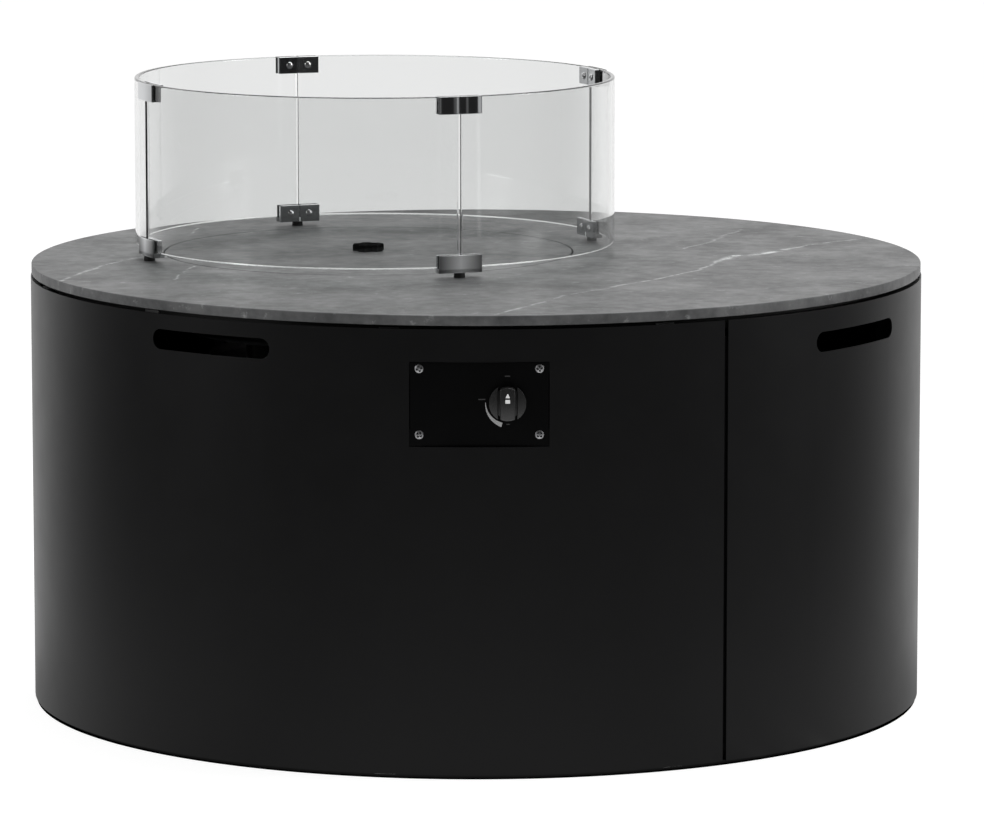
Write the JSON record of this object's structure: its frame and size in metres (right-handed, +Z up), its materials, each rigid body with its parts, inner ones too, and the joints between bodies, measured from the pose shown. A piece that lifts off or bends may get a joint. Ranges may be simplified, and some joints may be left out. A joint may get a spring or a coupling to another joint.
{
  "type": "gas fire pit table",
  "caption": "Round gas fire pit table with an off-centre lidded burner, a round glass wind guard, a curved hinged door and a push-and-turn gas knob.",
  "frame": {"origin": "on the drum's axis, on the floor, under the centre glide", "axes": "+Z up, -Y towards the front with the control plate, +X towards the door's hinge"},
  "size_m": [1.102, 1.1165, 0.764],
  "materials": {
    "stone": "dark grey sintered stone with fine white veins, satin",
    "powder": "black powder coat, satin",
    "frame": "black paint, matt",
    "steel": "zinc-plated or stainless sheet",
    "bright": "bright plated steel",
    "clip": "polished stainless steel",
    "glass": "clear tempered glass, faint green edge",
    "rubber": "black rubber",
    "magnet": "rubber-coated magnet",
    "handle": "black turned handle, satin",
    "knob": "black plastic, slight sheen",
    "plate": "black enamel",
    "brass": "machined brass",
    "copper": "drawn copper"
  },
  "bodies": {
    "root": {"stone_top": "stone", "slab_pads": "rubber", "main_shell": "powder", "rear_shell": "powder", "joint_strip": "powder", "shell_rivets": "powder", "shell_tabs": "steel", "top_ring": "frame", "base_ring": "frame", "frame_posts": "frame", "pan_bearers": "frame", "floor_pan": "powder", "glides": "rubber", "glide_screws": "steel", "hinge_brackets": "steel", "hinge_pins": "bright", "door_stop": "powder", "door_magnets": "magnet", "control_box": "powder", "control_plate": "plate", "plate_screws": "bright", "gas_valve": "brass", "valve_nut": "brass", "stem_spring": "steel", "gas_inlet": "brass", "gas_pipe": "steel", "injector": "brass", "air_mixer": "steel", "mixer_nut": "steel", "burner_pan": "steel", "burner_ring": "steel", "burner_legs": "steel", "thermocouple": "steel", "thermocouple_bracket": "steel", "thermocouple_lead": "copper", "heat_shield": "steel", "shield_spacers": "steel"},
    "door": {"door_panel": "powder", "door_frame": "powder", "door_brackets": "steel"},
    "lid": {"lid_stone": "stone", "lid_pads": "rubber", "lid_handle": "handle", "handle_screw": "steel"},
    "guard": {"guard_glass_1": "glass", "guard_glass_2": "glass", "guard_glass_3": "glass", "guard_glass_4": "glass", "clips_top": "clip", "clips_bottom": "clip", "clip_gaskets": "rubber", "clip_screws": "clip", "guard_feet": "rubber"},
    "spindle": {"valve_plug": "brass"},
    "knob": {"control_knob": "knob", "valve_stem": "steel"}
  },
  "joints": [
    {"name": "door_hinge", "type": "hinge", "parent": "root", "child": "door", "pos_m": [0.54, -0.0115, 0.25], "axis": [0, 0, 1], "range_deg": [0, 95]},
    {"name": "lid_lift", "type": "slide", "parent": "root", "child": "lid", "axis": [0, 0, 1], "range_m": [0, 0.26]},
    {"name": "guard_lift", "type": "slide", "parent": "root", "child": "guard", "axis": [0, 0, 1], "range_m": [0, 0.25]},
    {"name": "knob_turn", "type": "hinge", "parent": "root", "child": "spindle", "pos_m": [0.0325, -0.509, 0.4425], "axis": [0, -1, 0], "range_deg": [0, 180]},
    {"name": "knob_push", "type": "slide", "parent": "spindle", "child": "knob", "axis": [0, 1, 0], "range_m": [0, 0.003], "stiffness_N_per_m": 1200, "springref_m": -0.002, "deforming": ["stem_spring"]}
  ]
}
